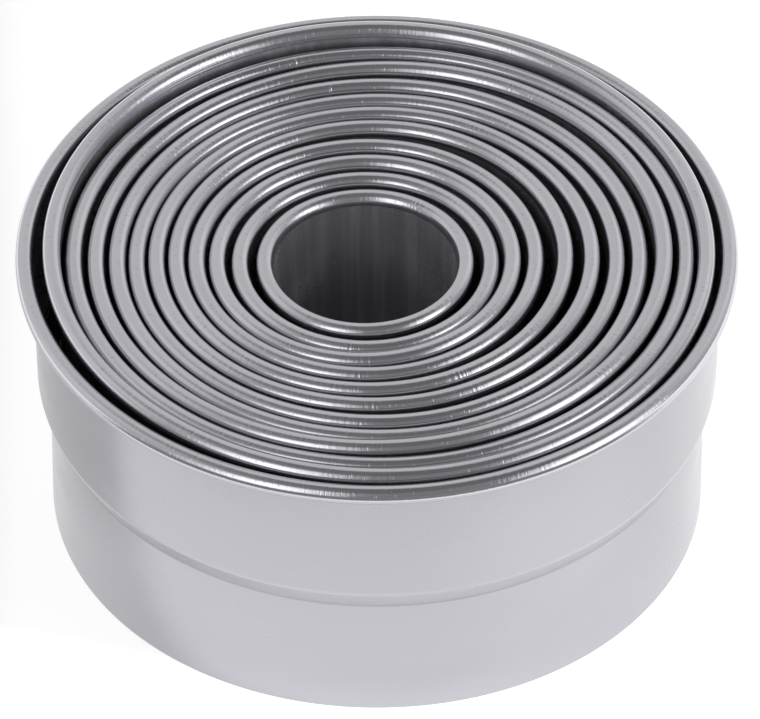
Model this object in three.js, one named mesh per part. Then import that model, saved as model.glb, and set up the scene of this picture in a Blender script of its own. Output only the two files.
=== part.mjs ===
// Nested set of round, plain cutters for pastry and dough.
// Millimetres, +Z up, origin at the centre of the largest cutter's cutting edge, on the table.
// Each cutter is one strip of thin sheet rolled into a ring. From the table upwards it has a
// cutting edge, a straight lower wall, a joggle that widens the ring, an upper wall that widens
// very slightly, and an outward curl that makes the rim.
import * as THREE from "three";

// ---- driving dimensions ----
const HEIGHT = 51.52; // cutting edge to the top of the rim
const SHEET = 0.35; // thickness of the strip
const STEP_HEIGHT = 24.75; // middle of the joggle above the cutting edge
const STEP_RISE = 2.15; // half the height of the joggle
const EDGE_INSET = 2.21; // the cutting edge's outside lies this far inside the rim's inner edge
const LOWER_INSET = 0.15; // the same for the upper wall, just above the joggle
const NECK_OUTSET = 0.25; // the upper wall's outside lies this far outside the rim's inner edge
const NECK_DROP = 0.5; // the curl starts this far below its own centre line

// Angles round the curl, measured in the ring's section from the outward direction.
const CURL_OUTSIDE = [158, 124, 90, 45, 0, -60, -130];
const CURL_INSIDE = [-124, -35, 52, 150];

// Each cutter: rim is the radius of the curl's centre line and tube is the curl's own radius.
// x and y place the centre of the rim. back and right are how far the cutter leans, in degrees:
// back raises its +Y side and right raises its +X side, as loose rings stand in a nest.
// extra is how much taller than HEIGHT the cutter is, below the joggle. step is the joggle's
// height where it isn't STEP_HEIGHT.
const CUTTERS = [
  { name: "cutter_106mm", rim: 56.52, tube: 1.48, x: 0, y: 0, back: 0, right: 0, extra: 0, sides: 48 },
  { name: "cutter_98mm", rim: 52.51, tube: 1.42, x: 0.3, y: -0.81, back: 1.249, right: -0.624, extra: 0.66, sides: 48 },
  { name: "cutter_91mm", rim: 49.05, tube: 1.42, x: 0.41, y: -0.94, back: 0.328, right: 0.225, extra: 0, sides: 48 },
  { name: "cutter_84mm", rim: 45.5, tube: 1.42, x: 0.47, y: -1.42, back: 0.077, right: 1.075, extra: 0.16, sides: 48 },
  { name: "cutter_76mm", rim: 41.86, tube: 1.42, x: 0.22, y: -1.68, back: 0.427, right: 0.131, extra: 0, sides: 36 },
  { name: "cutter_70mm", rim: 38.4, tube: 1.42, x: -0.07, y: -1.69, back: 0.231, right: 0.19, extra: 0, sides: 36 },
  { name: "cutter_62mm", rim: 34.8, tube: 1.42, x: -0.5, y: -1.61, back: 0.296, right: 0.511, extra: 0.15, sides: 36 },
  { name: "cutter_55mm", rim: 31.13, tube: 1.42, x: -0.99, y: -1.72, back: 0.656, right: 0.584, extra: 0.24, sides: 36 },
  { name: "cutter_47mm", rim: 27.16, tube: 1.42, x: -1.74, y: -1.99, back: 0.491, right: 0.047, extra: 0.27, sides: 28 },
  { name: "cutter_40mm", rim: 23.65, tube: 1.42, x: -1.95, y: -2.27, back: 0.335, right: 0.62, extra: 0.26, sides: 28 },
  { name: "cutter_33mm", rim: 20.12, tube: 1.42, x: -1.84, y: -2.5, back: 0.336, right: 0.007, extra: 0, sides: 28 },
  { name: "cutter_25mm", rim: 16.15, tube: 1.37, x: -1.91, y: -2.5, back: -0.322, right: 0.271, extra: 0, step: 20.75, sides: 28 },
];

const rad = THREE.MathUtils.degToRad;

// Outside radius of the lower wall, which is the radius of the cutting edge.
const edgeRadius = ({ rim, tube }) => rim - tube - EDGE_INSET;

// The ring's section as [radius, height] points, once round and back to the first point.
function section({ rim, tube, extra, step = STEP_HEIGHT }) {
  const edge = edgeRadius({ rim, tube });
  const lower = rim - tube - LOWER_INSET; // outside of the upper wall, at the joggle
  const upper = rim - tube + NECK_OUTSET; // outside of the upper wall, under the curl
  const curlZ = HEIGHT - tube;
  const neckZ = curlZ - NECK_DROP;
  const on = (radius, degrees) => [
    rim + radius * Math.cos(rad(degrees)),
    curlZ + radius * Math.sin(rad(degrees)),
  ];
  const points = [
    [edge, -extra],
    [edge, step - STEP_RISE],
    [lower, step + STEP_RISE],
    [upper, neckZ],
    ...CURL_INSIDE.map((a) => on(tube - SHEET, a)).reverse(),
    ...CURL_OUTSIDE.map((a) => on(tube, a)).reverse(),
    [upper - SHEET, neckZ],
    [lower - SHEET, step + STEP_RISE],
    [edge - SHEET, step - STEP_RISE],
    [edge - SHEET, -extra],
  ];
  points.push(points[0]);
  return points.map(([r, z]) => new THREE.Vector2(r, z));
}

const steel = () =>
  new THREE.MeshStandardMaterial({ color: 0xc4c4c9, metalness: 1, roughness: 0.22 });

const set = new THREE.Group();
for (const cutter of CUTTERS) {
  const geometry = new THREE.LatheGeometry(section(cutter), cutter.sides);
  geometry.rotateX(Math.PI / 2); // the lathe turns about Y, and a cutter stands about Z

  const mesh = new THREE.Mesh(geometry, steel());
  mesh.name = cutter.name;
  mesh.rotation.set(rad(cutter.back), -rad(cutter.right), 0);

  // The centre of the rim is given, and the ring's own origin is below it along the leaning axis.
  const axis = new THREE.Vector3(0, 0, 1).applyEuler(mesh.rotation);
  const curlZ = HEIGHT - cutter.tube;
  const lean = Math.acos(Math.min(1, axis.z));
  const footZ = edgeRadius(cutter) * Math.sin(lean) + cutter.extra * Math.cos(lean);
  mesh.position.set(
    cutter.x - (curlZ * axis.x) / axis.z,
    cutter.y - (curlZ * axis.y) / axis.z,
    footZ, // so the lowest point of the cutting edge touches the table
  );
  set.add(mesh);
}

export default set;
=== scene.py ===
"""Looks of a nested set of round, plain cutters in polished sheet steel.

Metres, Z up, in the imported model's frame: the origin is the centre of the largest cutter's
cutting edge, on the table. Every cutter is one open, hollow strip of sheet with a joggled wall
and an outward curl, built ring by ring in mesh code.
"""

import math

import bpy
import numpy as np
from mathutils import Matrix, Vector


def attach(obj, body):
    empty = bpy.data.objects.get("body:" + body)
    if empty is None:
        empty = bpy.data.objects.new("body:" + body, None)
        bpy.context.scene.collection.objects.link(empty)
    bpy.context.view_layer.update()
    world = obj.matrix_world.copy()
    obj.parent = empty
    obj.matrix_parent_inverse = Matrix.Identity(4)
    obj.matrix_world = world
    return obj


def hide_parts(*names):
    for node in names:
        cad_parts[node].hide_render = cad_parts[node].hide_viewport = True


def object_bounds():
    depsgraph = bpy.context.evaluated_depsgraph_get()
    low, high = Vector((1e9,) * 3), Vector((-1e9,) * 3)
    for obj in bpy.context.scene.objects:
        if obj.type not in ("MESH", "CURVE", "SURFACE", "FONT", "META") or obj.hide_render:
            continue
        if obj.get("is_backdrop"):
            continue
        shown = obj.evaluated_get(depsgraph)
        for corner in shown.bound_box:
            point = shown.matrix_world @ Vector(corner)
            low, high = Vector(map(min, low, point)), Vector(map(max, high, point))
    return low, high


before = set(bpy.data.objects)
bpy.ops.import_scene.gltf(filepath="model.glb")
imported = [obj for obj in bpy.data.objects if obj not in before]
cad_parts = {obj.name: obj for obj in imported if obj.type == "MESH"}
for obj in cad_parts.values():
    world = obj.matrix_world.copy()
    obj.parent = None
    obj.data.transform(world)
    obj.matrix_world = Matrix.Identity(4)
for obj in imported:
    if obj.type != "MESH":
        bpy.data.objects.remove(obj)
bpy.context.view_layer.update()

MM = 0.001

# ------------------------------------------------------------------ the construction's dimensions
# These repeat the construction's own numbers, in millimetres and degrees.
HEIGHT = 51.51  # cutting edge to the top of the rim
SHEET = 0.35
STEP_HEIGHT = 24.75
STEP_RISE = 2.15
EDGE_INSET = 2.21
LOWER_INSET = 0.15
NECK_OUTSET = 0.25
CROOK = 2.6  # radius of the bend that leads from the wall into the curl
FULLNESS = 2.2  # 2 would be a round curl

# name, rim radius, curl radius, rim centre x and y, lean back, lean right, extra height, joggle
CUTTERS = [
    ("106mm", 56.52, 1.48, 0.0, 0.0, 0.0, 0.0, 0.0, STEP_HEIGHT),
    ("98mm", 52.51, 1.42, 0.3, -0.81, 1.249, -0.624, 0.66, STEP_HEIGHT),
    ("91mm", 49.05, 1.42, 0.41, -0.94, 0.328, 0.225, 0.0, STEP_HEIGHT),
    ("84mm", 45.5, 1.42, 0.47, -1.42, 0.077, 1.075, 0.16, STEP_HEIGHT),
    ("76mm", 41.86, 1.42, 0.22, -1.68, 0.427, 0.131, 0.0, STEP_HEIGHT),
    ("70mm", 38.4, 1.42, -0.07, -1.69, 0.231, 0.19, 0.0, STEP_HEIGHT),
    ("62mm", 34.8, 1.42, -0.5, -1.61, 0.296, 0.511, 0.15, STEP_HEIGHT),
    ("55mm", 31.13, 1.42, -0.99, -1.72, 0.656, 0.584, 0.24, STEP_HEIGHT),
    ("47mm", 27.16, 1.42, -1.74, -1.99, 0.491, 0.047, 0.27, STEP_HEIGHT),
    ("40mm", 23.65, 1.42, -1.95, -2.27, 0.335, 0.62, 0.26, STEP_HEIGHT),
    ("33mm", 20.12, 1.42, -1.84, -2.5, 0.336, 0.007, 0.0, STEP_HEIGHT),
    ("25mm", 16.15, 1.37, -1.91, -2.5, -0.322, 0.271, 0.0, 20.75),
]
# Where each cutter's joint stands, in degrees round from +X, and how much of it shows
SEAMS = [
    (95.0, 0.5), (-88.0, 0.3), (106.5, 1.0), (62.0, 0.3), (101.0, 0.8), (139.0, 0.3),
    (-90.0, 0.6), (-64.0, 0.8), (-92.0, 0.6), (-88.0, 0.5), (-96.0, 0.5), (58.0, 0.5),
]  # fmt: skip
# Small knocks on the curls, by cutter: degrees round from +X, degrees over the curl from the
# outward direction, half width along the strip and half length over the curl in mm, height in mm
KNOCKS = {
    3: [(206.0, -8, 0.16, 0.35, 0.03)],
    5: [(23.5, 60, 0.18, 0.22, -0.03)],
    6: [
        (296.0, 48, 0.14, 0.5, -0.03), (297.4, 40, 0.16, 0.6, -0.035), (298.8, 46, 0.12, 0.4, 0.02),
        (271.5, 20, 0.15, 0.4, -0.03), (356.0, 125, 0.16, 0.22, -0.03),
    ],
    7: [(357.6, 22, 0.3, 0.22, 0.075), (356.6, 10, 0.14, 0.16, 0.05)],
    8: [(273.5, 52, 0.12, 0.4, -0.025), (281.5, 38, 0.12, 0.4, -0.025)],
    9: [(278.0, 56, 0.12, 0.35, -0.025)],
    10: [(265.0, 48, 0.12, 0.35, -0.025)],
}  # fmt: skip

# ------------------------------------------------------------------ camera
ELEVATION = 42.3033
FOCAL_PX = 12385.45
DISTANCE = 34.2246 * 58.0
SHIFT_X = -0.0081 * 58.0
SHIFT_Y = 0.3082 * 58.0 + 0.1 / FOCAL_PX * DISTANCE
ROLL = -0.026


def make_camera():
    e, roll = math.radians(ELEVATION), math.radians(ROLL)
    ahead = np.array([0.0, math.cos(e), -math.sin(e)])
    right = np.array([1.0, 0.0, 0.0])
    up = np.array([0.0, math.sin(e), math.cos(e)])
    c, s = math.cos(roll), math.sin(roll)
    right, up = c * right + s * up, c * up - s * right
    at = np.array([0.0, 0.0, 0.8883 * 58.0]) - (ahead * DISTANCE + right * SHIFT_X + up * SHIFT_Y)
    data = bpy.data.cameras.new("camera")
    data.sensor_width = 36.0
    data.lens = FOCAL_PX / 760.0 * 36.0
    data.clip_start, data.clip_end = 0.05, 100.0
    camera = bpy.data.objects.new("camera", data)
    bpy.context.scene.collection.objects.link(camera)
    from mathutils import Matrix

    camera.matrix_world = Matrix(
        [
            [right[0], up[0], -ahead[0], at[0] * MM],
            [right[1], up[1], -ahead[1], at[1] * MM],
            [right[2], up[2], -ahead[2], at[2] * MM],
            [0, 0, 0, 1],
        ]
    )
    bpy.context.scene.camera = camera


make_camera()

# ------------------------------------------------------------------ section of one cutter


def fillet(corners, radii, steps):
    """A polyline with its inner corners rounded, as an array of points."""
    out = [corners[0]]
    for i in range(1, len(corners) - 1):
        a, b, c = (np.array(p, float) for p in corners[i - 1 : i + 2])
        u, v = (a - b) / np.linalg.norm(a - b), (c - b) / np.linalg.norm(c - b)
        half = math.acos(max(-1.0, min(1.0, float(u @ v)))) / 2
        reach = radii[i - 1] / math.tan(half)
        centre = b + (u + v) / np.linalg.norm(u + v) * radii[i - 1] / math.sin(half)
        p0, p1 = b + u * reach - centre, b + v * reach - centre
        turn = math.atan2(p0[0] * p1[1] - p0[1] * p1[0], float(p0 @ p1))
        for k in range(steps + 1):
            w = turn * k / steps
            cw, sw = math.cos(w), math.sin(w)
            out.append(centre + np.array([cw * p0[0] - sw * p0[1], sw * p0[0] + cw * p0[1]]))
    out.append(corners[-1])
    return np.array([np.array(p, float) for p in out])


def split_long(points, longest):
    """The polyline with its long straight runs divided, and a loop kept close to each rounding."""
    out = [points[0]]
    for a, b in zip(points[:-1], points[1:]):
        length = float(np.linalg.norm(b - a))
        if length > 1.2:
            n = max(1, math.ceil((length - 0.4) / longest))
            marks = [0.2 + (length - 0.4) * k / n for k in range(n + 1)]
            out += [a + (b - a) * m / length for m in marks]
        out.append(b)
    return np.array(out)


def arc(centre, radius, start, end, steps):
    a = np.radians(np.linspace(start, end, steps))
    return centre + radius * np.stack([np.cos(a), np.sin(a)], -1)


def curl_over(centre, tube, degrees):
    """The outside of the curl, which the rolls leave a little fuller than a true circle."""
    a = np.radians(degrees)
    full = (np.abs(np.cos(a)) ** FULLNESS + np.abs(np.sin(a)) ** FULLNESS) ** (-1 / FULLNESS)
    near_wall = np.clip((158 - degrees) / 24, 0, 1)
    near_end = np.clip((degrees + 112) / 40, 0, 1)
    share = near_wall**2 * (3 - 2 * near_wall) * near_end**2 * (3 - 2 * near_end)
    radius = tube * (1 + (full - 1) * share)
    return centre + radius[:, None] * np.stack([np.cos(a), np.sin(a)], -1)


def section(rim, tube, extra, step):
    """The closed section of one cutter: its points, and where the curl lies on them.

    Points are radius and height in mm, walked once round: up the inside of the wall, over the
    curl, round its end, back under it, and down the outside of the wall. The second array holds
    each point's angle over the curl, from the outward direction, and is nan off the curl."""
    edge = rim - tube - EDGE_INSET
    lower = rim - tube - LOWER_INSET
    upper = rim - tube + NECK_OUTSET
    curl = np.array([rim, HEIGHT - tube])
    low, high = step - STEP_RISE, step + STEP_RISE

    # The wall bends into the curl through an arc that touches both
    inset = SHEET - NECK_OUTSET
    drop = math.sqrt(2 * inset * (CROOK - tube) - inset**2)
    meet = math.degrees(math.atan2(drop, -(CROOK - tube - inset)))
    crook = np.array([upper - SHEET + CROOK, curl[1] - drop])
    slope = math.degrees(math.atan2(upper - lower, crook[1] - high))
    bend = arc(crook, CROOK, 180 + slope, meet, 9)
    inside = fillet(
        [(edge - SHEET, -extra + 0.08), (edge - SHEET, low), (lower - SHEET, high), bend[0]],
        [0.8, 2.45],
        6,
    )
    inside = split_long(inside, 3.2)
    over = np.linspace(meet, -126, 44)
    end = np.array(
        [
            arc(curl, tube - 0.1, -129.5, -129.5, 1)[0],
            arc(curl, tube - SHEET / 2, -131.0, -131.0, 1)[0],
            arc(curl, tube - SHEET + 0.1, -129.5, -129.5, 1)[0],
        ]
    )
    hidden = arc(curl, tube - SHEET, -126, meet, 16)
    back = arc(crook, CROOK - SHEET, meet, 180 + slope, 7)[1:]
    outside = fillet(
        [back[-1], (lower, high), (edge, low), (edge, -extra + 0.22)],
        [2.8, 0.45],
        6,
    )
    outside = split_long(outside, 3.2)
    foot = np.array(
        [
            (edge - 0.08, -extra + 0.03),
            (edge - SHEET / 2, -extra),
            (edge - SHEET + 0.05, -extra + 0.02),
        ]
    )
    runs = [inside, bend[1:-1], curl_over(curl, tube, over), end, hidden, back[:-1], outside, foot]
    angles = [np.full(len(r), np.nan) for r in runs]
    angles[2] = over
    angles[1] = np.linspace(180 + slope, meet, 9)[1:-1]
    return np.concatenate(runs), np.concatenate(angles)


def azimuths(count, places):
    """Angles round a cutter in degrees, evenly spaced and closer together at some places.

    Each place is its angle, how far it reaches to each side and how many angles it takes."""
    even = np.arange(count) * 360.0 / count
    out = []
    for angle, reach, many in places:
        apart = (even - angle + 180) % 360 - 180
        even = even[np.abs(apart) > reach + 0.25 * 360.0 / count]
        out.append((angle + np.linspace(-reach, reach, many)) % 360)
    return np.sort(np.concatenate([even] + out))


# ------------------------------------------------------------------ mesh of one cutter


def wobble(theta, index):
    """Small departures from a true circle, in mm on the radius, different on every cutter."""
    rng = np.random.default_rng(400 + index)
    out = np.zeros_like(theta)
    for k in (2, 3, 4, 5):
        out += rng.normal(0, 0.03 / (k - 1)) * np.cos(k * theta + rng.uniform(0, 2 * math.pi))
    return out


def along_strip(degrees, angle, rim):
    """Distance along the strip from an angle, in mm."""
    return ((degrees - angle + 180) % 360 - 180) / 180 * math.pi * rim


def make_cutter(index, materials):
    name, rim, tube, x, y, back, lean_right, extra, step = CUTTERS[index]
    seam, shows = SEAMS[index]
    knocks = KNOCKS.get(index, [])
    count = int(max(120, min(264, 264 * (rim / 56.6) ** 0.6)))
    places = [(seam, math.degrees(2.4 / rim), 49)]
    if knocks:
        middle = np.array([k[0] for k in knocks])
        for angle in middle:
            if all(abs(angle - p[0]) > math.degrees(1.1 / rim) for p in places[1:]):
                places.append((angle, math.degrees(1.0 / rim), 21))
    degrees = azimuths(count, places)
    # a place that overlaps another leaves pairs of angles too close together
    keep = np.concatenate([[True], np.diff(degrees) > 0.02])
    degrees = degrees[keep]
    theta = np.radians(degrees)
    out_of_round = wobble(theta, index)
    if index == 0:
        out_of_round *= 0.0  # the largest ring is the truest

    points, over = section(rim, tube, extra, step)
    grid = points[None] + out_of_round[:, None, None] * np.array([1.0, 0.0])
    rows, cols = grid.shape[0], grid.shape[1]

    # The joint: two strip ends welded edge to edge, dressed flat, with marks of the tool beside it
    ahead = np.roll(grid, -1, axis=1) - np.roll(grid, 1, axis=1)
    normal = np.stack([ahead[..., 1], -ahead[..., 0]], -1)
    normal /= np.maximum(np.linalg.norm(normal, axis=-1, keepdims=True), 1e-9)
    along = along_strip(degrees, seam, rim)
    depth = -0.040 * np.exp(-((along / 0.15) ** 2)) + 0.014 * np.exp(-(((np.abs(along) - 0.36) / 0.16) ** 2))
    depth += 0.022 * np.exp(-(((along - 0.95) / 0.13) ** 2)) - 0.02 * np.exp(-(((along + 0.85) / 0.13) ** 2))
    depth += 0.016 * np.exp(-(((along + 1.5) / 0.12) ** 2)) + 0.010 * np.exp(-(((along - 1.55) / 0.14) ** 2))
    lift = np.repeat((depth * shows)[:, None], cols, 1)
    lift *= np.clip((points[:, 1] + extra - 1.0) / 2.0, 0, 1)[None]
    for angle, place, wide, long, height in knocks:
        near = np.exp(-((along_strip(degrees, angle, rim) / wide) ** 2))
        across = np.exp(-((np.radians(np.nan_to_num(over, nan=999.0) - place) * tube / long) ** 2))
        lift += height * near[:, None] * across[None]
    grid = grid + normal * lift[..., None]

    radius, z = grid[..., 0], grid[..., 1]
    local = np.stack([radius * np.cos(theta)[:, None], radius * np.sin(theta)[:, None], z], -1)

    # The lean and the place of the ring, as the construction works them out
    a, b = math.radians(back), -math.radians(lean_right)
    rot_x = np.array([[1, 0, 0], [0, math.cos(a), -math.sin(a)], [0, math.sin(a), math.cos(a)]])
    rot_y = np.array([[math.cos(b), 0, math.sin(b)], [0, 1, 0], [-math.sin(b), 0, math.cos(b)]])
    turn = rot_x @ rot_y
    axis = turn[:, 2]
    curl_z = HEIGHT - tube
    lean = math.acos(min(1.0, axis[2]))
    edge = rim - tube - EDGE_INSET
    foot = edge * math.sin(lean) + extra * math.cos(lean)
    at = np.array([x - curl_z * axis[0] / axis[2], y - curl_z * axis[1] / axis[2], foot])
    world = (local @ turn.T + at) * MM

    # Faces run azimuth by azimuth round the closed section
    i, j = np.meshgrid(np.arange(rows), np.arange(cols), indexing="ij")
    i1, j1 = (i + 1) % rows, (j + 1) % cols
    faces = np.stack([i * cols + j, i * cols + j1, i1 * cols + j1, i1 * cols + j], -1).reshape(-1, 4)
    mesh = bpy.data.meshes.new("steel_" + name)
    mesh.from_pydata(world.reshape(-1, 3).tolist(), [], faces.tolist())
    for m in materials:
        mesh.materials.append(m)

    # A map of the strip: u runs along it in mm from the joint, v up and over it in mm
    span = np.linalg.norm(np.roll(points, -1, axis=0) - points, axis=-1)
    v = np.concatenate([[0.0], np.cumsum(span)])
    creased = np.hypot(points[:, 0] - edge, points[:, 1] - (step - STEP_RISE)).argmin()
    v += 100.0 - v[creased]  # v is 100 in the outside crease under the joggle
    u = np.radians(np.round((degrees - seam) % 360, 5) % 360) * rim
    u_next = u + np.radians((np.roll(degrees, -1) - degrees) % 360) * rim
    uv = np.stack(
        [
            np.stack([u[i], u[i], u_next[i], u_next[i]], -1),
            np.stack([v[j], v[j + 1], v[j + 1], v[j]], -1),
        ],
        -1,
    ).reshape(-1, 2)
    uv[:, 0] += 400.0 * index
    layer = mesh.uv_layers.new(name="strip")
    layer.data.foreach_set("uv", uv.astype(np.float32).ravel())

    # The curl is burnished by the rolling tool, and the walls keep the sheet's own finish, with a colour set darker
    # partly as painted shade
    on_curl = np.isfinite(over)
    in_ring = np.arange(cols) < np.flatnonzero(on_curl)[0]
    on_curl &= np.nan_to_num(over, nan=-999.0) > -8
    slots = np.where(on_curl[j], 0, np.where(in_ring[j], 2, 1)).ravel()
    mesh.polygons.foreach_set("material_index", slots.astype(np.int32))
    mesh.polygons.foreach_set("use_smooth", np.ones(len(faces), bool))
    mesh.update()

    piece = bpy.data.objects.new("steel_" + name, mesh)
    bpy.context.scene.collection.objects.link(piece)
    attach(piece, "body_" + name)
    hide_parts("cutter_" + name)
    return piece


# ------------------------------------------------------------------ materials


class Nodes:
    """A short way to write a node tree."""

    def __init__(self, tree):
        self.tree = tree
        tree.nodes.clear()

    def add(self, kind, **settings):
        node = self.tree.nodes.new(kind)
        for key, value in settings.items():
            setattr(node, key, value)
        return node

    def link(self, a, b):
        self.tree.links.new(a, b)

    def put(self, socket, value):
        if isinstance(value, bpy.types.NodeSocket):
            self.link(value, socket)
        elif value is not None:
            socket.default_value = value

    def math(self, operation, a, b=None, c=None, clamp=False):
        node = self.add("ShaderNodeMath", operation=operation, use_clamp=clamp)
        for socket, value in zip(node.inputs, (a, b, c)):
            self.put(socket, value)
        return node.outputs[0]

    def vector(self, operation, a, b=None):
        node = self.add("ShaderNodeVectorMath", operation=operation)
        self.put(node.inputs[0], a)
        if b is not None:
            self.put(node.inputs[1], b)
        return node.outputs["Value"] if operation in ("LENGTH", "DOT_PRODUCT", "DISTANCE") else node.outputs["Vector"]

    def noise(self, at, scale=1.0, detail=2.0, roughness=0.5, dimensions="3D"):
        node = self.add("ShaderNodeTexNoise", noise_dimensions=dimensions)
        self.put(node.inputs["Vector"], at)
        node.inputs["Scale"].default_value = scale
        node.inputs["Detail"].default_value = detail
        node.inputs["Roughness"].default_value = roughness
        return node.outputs["Fac"]

    def spread(self, value, low, high, to_low, to_high, smooth=False):
        node = self.add("ShaderNodeMapRange", clamp=True)
        if smooth:
            node.interpolation_type = "SMOOTHSTEP"
        for socket, x in zip(node.inputs, (value, low, high, to_low, to_high)):
            self.put(socket, x)
        return node.outputs["Result"]

    def mix(self, factor, a, b):
        node = self.add("ShaderNodeMix", data_type="RGBA")
        for socket, x in zip((node.inputs[0], node.inputs[6], node.inputs[7]), (factor, a, b)):
            self.put(socket, x)
        return node.outputs[2]

    def bump(self, height, distance, strength=1.0, below=None):
        node = self.add("ShaderNodeBump")
        self.put(node.inputs["Height"], height)
        node.inputs["Distance"].default_value = distance
        node.inputs["Strength"].default_value = strength
        if below is not None:
            self.put(node.inputs["Normal"], below)
        return node.outputs["Normal"]


def steel(name, place):
    """The strip's own steel on the outside of the wall, in the ring, or burnished on the curl."""
    material = bpy.data.materials.new(name)
    material.use_nodes = True
    n = Nodes(material.node_tree)
    strip = n.add("ShaderNodeUVMap", uv_map="strip").outputs["UV"]

    # broad, faint changes of tone from handling and from the mill
    cloud = n.noise(n.vector("MULTIPLY", strip, (0.05, 0.09, 0.0)), 1.0, 3.0, 0.55)
    mottle = n.noise(n.vector("MULTIPLY", strip, (0.9, 1.1, 0.0)), 1.0, 3.0, 0.6)
    # rolling lines that run along the strip
    lines = n.noise(n.vector("MULTIPLY", strip, (0.035, 5.5, 0.0)), 1.0, 4.0, 0.62)

    tone = n.math("ADD", n.math("MULTIPLY", cloud, 0.6), n.math("MULTIPLY", lines, 0.4))
    tone = n.spread(tone, 0.3, 0.7, 0.0, 1.0)
    shader = n.add("ShaderNodeBsdfPrincipled")
    if place == "curl":
        # marks across the strip, left by the forming rolls, in groups, and sparse finer nicks
        marks = n.noise(n.vector("MULTIPLY", strip, (1.7, 0.3, 0.0)), 1.0, 2.0, 0.55)
        groups = n.noise(n.vector("MULTIPLY", strip, (0.16, 0.02, 0.0)), 1.0, 2.0, 0.5)
        nick = n.add("ShaderNodeTexVoronoi", voronoi_dimensions="2D")
        n.link(n.vector("MULTIPLY", strip, (1.05, 0.3, 0.0)), nick.inputs["Vector"])
        nick.inputs["Scale"].default_value = 1.0
        nicks = n.spread(nick.outputs["Distance"], 0.0, 0.15, -1.0, 0.0, smooth=True)
        polish = n.noise(n.vector("MULTIPLY", strip, (0.013, 0.0, 0.0)), 1.0, 2.0, 0.5)
        colour = n.mix(tone, (0.55, 0.545, 0.585, 1), (0.60, 0.595, 0.635, 1))
        rough = n.math("ADD", n.spread(polish, 0.36, 0.64, 0.10, 0.20), n.math("MULTIPLY", lines, 0.03))
        height = n.math("MULTIPLY", marks, n.spread(groups, 0.35, 0.65, 0.3, 1.0))
        normal = n.bump(height, 0.000045)
        normal = n.bump(nicks, 0.000016, below=normal)
        normal = n.bump(lines, 0.0000012, below=normal)
        normal = n.bump(mottle, 0.000003, below=normal)
        shader.inputs["Metallic"].default_value = 0.96
        shader.inputs["Anisotropic"].default_value = 0.45
        grain = n.add("ShaderNodeTangent", direction_type="UV_MAP", uv_map="strip")
        n.link(grain.outputs[0], shader.inputs["Tangent"])
    elif place == "inside":
        # draw marks that run up the wall, and a film that dulls it
        draw = n.noise(n.vector("MULTIPLY", strip, (0.42, 0.012, 0.0)), 1.0, 3.0, 0.6)
        draw = n.spread(draw, 0.47, 0.66, 0.0, 1.0)
        colour = n.mix(draw, (0.50, 0.50, 0.53, 1), (0.66, 0.66, 0.70, 1))
        rough = n.spread(n.math("ADD", n.math("MULTIPLY", mottle, 0.4), n.math("MULTIPLY", cloud, 0.6)), 0.3, 0.7, 0.2, 0.3)
        normal = n.bump(lines, 0.0000022)
        normal = n.bump(mottle, 0.000009, below=normal)
        shader.inputs["Metallic"].default_value = 0.8
    else:
        # a faint dark line in the colour, in a thin band along the crease under the joggle
        grain = n.noise(n.vector("MULTIPLY", strip, (2.2, 3.0, 0.0)), 1.0, 2.0, 0.5)
        split = n.add("ShaderNodeSeparateXYZ")
        n.link(strip, split.inputs[0])
        crease = n.math("ABSOLUTE", n.math("SUBTRACT", split.outputs[1], 100.0))
        crease = n.spread(crease, 0.05, 0.42, 0.55, 0.0, smooth=True)
        tone = n.math("ADD", n.math("MULTIPLY", tone, 0.65), n.math("MULTIPLY", grain, 0.35))
        # the sheet steel is set darker than the burnished curl: partly its duller finish, partly painted shade that
        # offsets the floor's over-bright glow seen in the wall
        colour = n.mix(tone, (0.404, 0.399, 0.432, 1), (0.45, 0.445, 0.48, 1))
        colour = n.mix(crease, colour, (0.24, 0.235, 0.255, 1))
        rough = n.spread(cloud, 0.3, 0.7, 0.2, 0.3)
        normal = n.bump(lines, 0.0000004)
        shader.inputs["Metallic"].default_value = 0.94

    n.link(colour, shader.inputs["Base Color"])
    n.link(rough, shader.inputs["Roughness"])
    n.link(normal, shader.inputs["Normal"])
    out = n.add("ShaderNodeOutputMaterial")
    n.link(shader.outputs["BSDF"], out.inputs["Surface"])
    return material


steels = [steel("steel_burnished", "curl"), steel("steel_sheet", "wall"), steel("steel_inside", "inside")]
for index in range(len(CUTTERS)):
    make_cutter(index, steels)

# ------------------------------------------------------------------ floor, room and lamps


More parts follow.
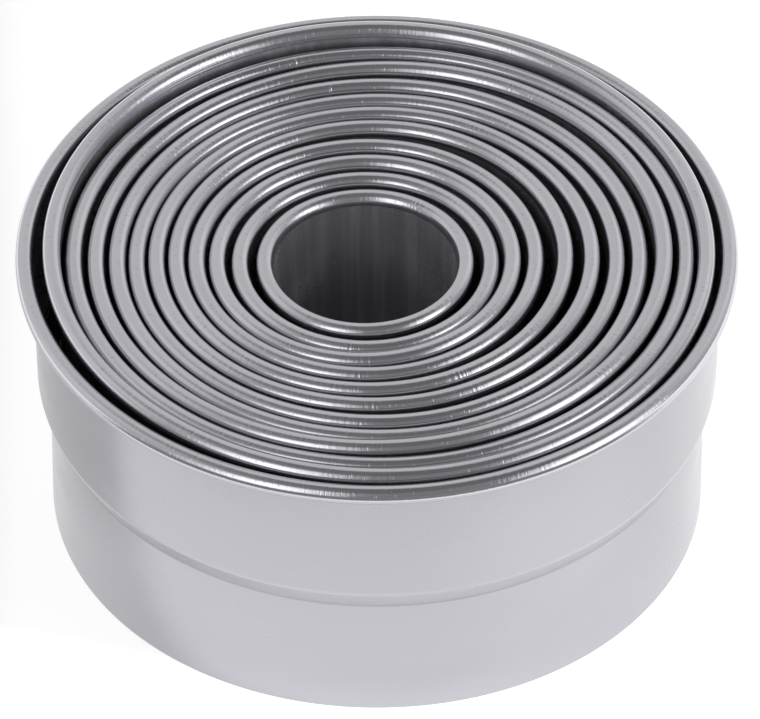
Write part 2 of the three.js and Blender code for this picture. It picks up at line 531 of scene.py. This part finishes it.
def make_floor():
    mesh = bpy.data.meshes.new("floor")
    s = 30.0
    mesh.from_pydata([(-s, -s, 0), (s, -s, 0), (s, s, 0), (-s, s, 0)], [], [(0, 1, 2, 3)])
    floor = bpy.data.objects.new("floor", mesh)
    bpy.context.scene.collection.objects.link(floor)
    floor.location.z = -0.00002
    floor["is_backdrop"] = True
    material = bpy.data.materials.new("floor")
    material.use_nodes = True
    n = Nodes(material.node_tree)
    place = n.add("ShaderNodeTexCoord").outputs["Object"]
    away = n.vector("LENGTH", place)
    split = n.add("ShaderNodeSeparateXYZ")
    n.link(place, split.inputs[0])
    x, y, _ = split.outputs
    # the floor's colour darkens and its glow, which is painted light, fades out some way in front of the object, so
    # the front reflects dark
    ahead = n.math("DIVIDE", n.math("MULTIPLY", y, -1.0), n.math("MAXIMUM", away, 0.001))
    edge = n.math("SUBTRACT", away, n.spread(ahead, 0.1, 1.0, 0.099, 0.111))
    far = n.spread(edge, 0.0, 0.018, 0.0, 1.0, smooth=True)
    far = n.math("MULTIPLY", far, n.spread(ahead, 0.1, 0.5, 0.0, 1.0, smooth=True))
    # the glow is painted brightest on the right and dimmest on the left, a painted shadow where the object stands in
    # the way of the light
    across = n.math("ADD", n.math("MULTIPLY", n.math("ADD", y, 0.0455), -0.966), n.math("MULTIPLY", n.math("ADD", x, 0.0344), -0.259))
    shade = n.spread(across, 0.003, -0.006, 0.0, 1.0, smooth=True)
    shade = n.math("MULTIPLY", shade, n.spread(x, 0.0, -0.02, 0.0, 1.0, smooth=True))
    shade = n.math("MULTIPLY", shade, n.spread(away, 0.13, 0.2, 1.0, 0.0, smooth=True))
    # painted pool of light: a brighter glow in a ring close round the base, weaker on the right and kept out of the
    # painted shadow
    near = n.math("ADD", n.spread(away, 0.060, 0.095, 0.05, 0.0, smooth=True), n.spread(away, 0.0535, 0.060, 0.11, 0.0, smooth=True))
    near = n.math("MULTIPLY", near, n.spread(x, 0.015, 0.045, 1.0, 0.3, smooth=True))
    near = n.math("MULTIPLY", near, n.math("SUBTRACT", 1.0, shade))
    level = n.math("ADD", near, n.spread(x, 0.010, 0.055, 1.02, 1.15, smooth=True))
    # painted shade: the glow is lowered behind the object on the right
    behind = n.spread(y, -0.050, -0.015, 0.0, 0.17, smooth=True)
    behind = n.math("MULTIPLY", behind, n.spread(away, 0.13, 0.2, 1.0, 0.0, smooth=True))
    level = n.math("SUBTRACT", level, n.math("MULTIPLY", behind, n.spread(x, 0.0, 0.04, 0.0, 1.0, smooth=True)))
    # the painted shadow is deeper further out to the left
    shade = n.math("MULTIPLY", shade, n.spread(x, -0.056, -0.076, 0.26, 0.49, smooth=True))
    level = n.math("SUBTRACT", level, shade)
    shader = n.add("ShaderNodeBsdfPrincipled")
    n.link(n.mix(far, (0.42, 0.42, 0.42, 1), (0.22, 0.22, 0.22, 1)), shader.inputs["Base Color"])
    shader.inputs["Roughness"].default_value = 0.9
    shader.inputs["Specular IOR Level"].default_value = 0.1
    shader.inputs["Emission Color"].default_value = (1, 1, 1, 1)
    # the floor glows by emission, painted light that carries the painted shadow and pools above, with none under the
    # object
    glow = n.math("MULTIPLY", level, n.spread(away, 0.0522, 0.0529, 0.0, 1.0, smooth=True))
    glow = n.math("MULTIPLY", glow, n.spread(far, 0.0, 1.0, 1.0, 0.1))
    n.link(glow, shader.inputs["Emission Strength"])
    out = n.add("ShaderNodeOutputMaterial")
    n.link(shader.outputs["BSDF"], out.inputs["Surface"])
    mesh.materials.append(material)


def make_lamp(name, azimuth, elevation, distance, wide, high, radiance, roll=0.0):
    """A round-ended lamp that faces the object, with the angles it covers in degrees."""
    from mathutils import Matrix, Vector

    a, e = math.radians(azimuth), math.radians(elevation)
    out = Vector((math.cos(a) * math.cos(e), math.sin(a) * math.cos(e), math.sin(e)))
    data = bpy.data.lights.new(name, "AREA")
    data.shape = "ELLIPSE"
    data.size = 2 * distance * math.tan(math.radians(wide / 2))
    data.size_y = 2 * distance * math.tan(math.radians(high / 2))
    data.energy = radiance * math.pi * data.size * data.size_y * math.pi / 4
    lamp = bpy.data.objects.new(name, data)
    bpy.context.scene.collection.objects.link(lamp)
    lamp.matrix_world = (
        Matrix.Translation(Vector((0, 0, 0.05)) + out * distance)
        @ out.to_track_quat("Z", "Y").to_matrix().to_4x4()
        @ Matrix.Rotation(math.radians(roll), 4, "Z")
    )
    lamp.visible_camera = False
    return lamp


def make_room():
    """Pale walls behind and beside the object, a dim ceiling, and a dimmer front."""
    world = bpy.data.worlds.new("room")
    bpy.context.scene.world = world
    world.use_nodes = True
    n = Nodes(world.node_tree)
    way = n.add("ShaderNodeTexCoord").outputs["Generated"]
    split = n.add("ShaderNodeSeparateXYZ")
    n.link(way, split.inputs[0])
    x, y, z = split.outputs
    flat = n.math("SQRT", n.math("ADD", n.math("MULTIPLY", x, x), n.math("MULTIPLY", y, y)))
    flat = n.math("MAXIMUM", flat, 0.001)
    # from the front (-1) to the back (+1)
    depth = n.math("DIVIDE", y, flat)
    side = n.math("DIVIDE", x, flat)
    walls = n.spread(depth, -0.95, 0.5, 0.25, 0.75, smooth=True)
    dip = n.spread(side, 0.7, 1.0, 0.0, 0.22, smooth=True)
    dip = n.math("MULTIPLY", dip, n.spread(depth, 0.35, 0.75, 1.0, 0.0, smooth=True))
    walls = n.math("SUBTRACT", walls, dip)
    walls = n.math("ADD", walls, n.spread(side, -0.75, -1.0, 0.0, 0.13, smooth=True))
    ceiling = n.math("ADD", 0.17, n.math("MULTIPLY", n.math("MAXIMUM", n.math("MULTIPLY", x, -1.0), 0.0), 0.4))
    level = n.spread(z, 0.74, 0.93, 0.0, 1.0, smooth=True)
    strength = n.add("ShaderNodeMix", data_type="FLOAT")
    n.link(level, strength.inputs[0])
    n.link(walls, strength.inputs[2])
    n.link(ceiling, strength.inputs[3])
    background = n.add("ShaderNodeBackground")
    background.inputs["Color"].default_value = (1, 1, 1, 1)
    n.link(strength.outputs[0], background.inputs["Strength"])
    out = n.add("ShaderNodeOutputWorld")
    n.link(background.outputs[0], out.inputs["Surface"])


make_floor()
make_room()
# Each softbox is brightest in the middle and fades towards its edges
for part, wide, high, radiance in (("core", 19, 54, 1.7), ("body", 29, 74, 1.3), ("edge", 48, 94, 0.55)):
    make_lamp("softbox_left_" + part, -122, 13, 1.0, wide, high, radiance)
    make_lamp("softbox_right_" + part, -27, 13, 1.0, wide, high, radiance * 1.25, roll=-18)
make_lamp("fill_back", 55, 26, 1.2, 26, 38, 0.16)

scene = bpy.context.scene
scene.view_settings.view_transform = "Standard"
scene.view_settings.look = "None"
scene.view_settings.exposure = 0.0
scene.view_settings.gamma = 1.0

low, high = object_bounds()
